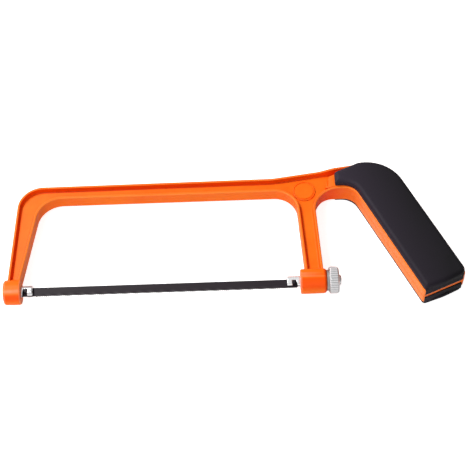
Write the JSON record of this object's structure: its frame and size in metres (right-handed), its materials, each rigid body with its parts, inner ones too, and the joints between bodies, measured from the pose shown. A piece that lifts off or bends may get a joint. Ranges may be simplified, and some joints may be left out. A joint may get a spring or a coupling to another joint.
{
  "type": "junior hacksaw",
  "caption": "Pistol-grip junior hacksaw: C-shaped die-cast frame, pinned blade in slotted studs, knurled tension nut.",
  "frame": {"origin": "centre of the saw's plan box, on the surface that it lies on", "axes": "+X along the blade towards the handle, +Y from the blade to the back bar, +Z out of the side that faces up"},
  "size_m": [0.258, 0.0874, 0.021],
  "materials": {
    "frame_paint": "orange enamel on a die casting, satin gloss",
    "plated_steel": "bright plated turned steel",
    "nut_steel": "plated, straight knurl",
    "blade_black": "black enamelled spring steel",
    "grip_rubber": "soft black moulding, satin"
  },
  "bodies": {
    "frame": {"frame_casting": "frame_paint", "front_stud": "plated_steel", "thrust_washer": "plated_steel", "upper_grip": "grip_rubber", "lower_grip": "grip_rubber"},
    "nut": {"thumb_nut": "nut_steel"},
    "tensioner": {"tension_stud": "plated_steel"},
    "blade": {"saw_blade": "blade_black", "front_blade_pin": "blade_black", "rear_blade_pin": "blade_black"}
  },
  "joints": [
    {"name": "nut_turn", "type": "hinge", "parent": "frame", "child": "nut", "pos_m": [0.05602, -0.03077, 0.0105], "axis": [1, 0, 0], "range_deg": [0, 180]},
    {"name": "stud_slide", "type": "slide", "parent": "frame", "child": "tensioner", "axis": [1, 0, 0], "range_m": [-0.0005, 0]},
    {"name": "blade_unhook", "type": "slide", "parent": "frame", "child": "blade", "axis": [0, -1, 0], "range_m": [0, 0.02]}
  ],
  "couplings": [
    {"joint": "stud_slide", "follows": "nut_turn", "m_per_rad": -0.00015915}
  ]
}
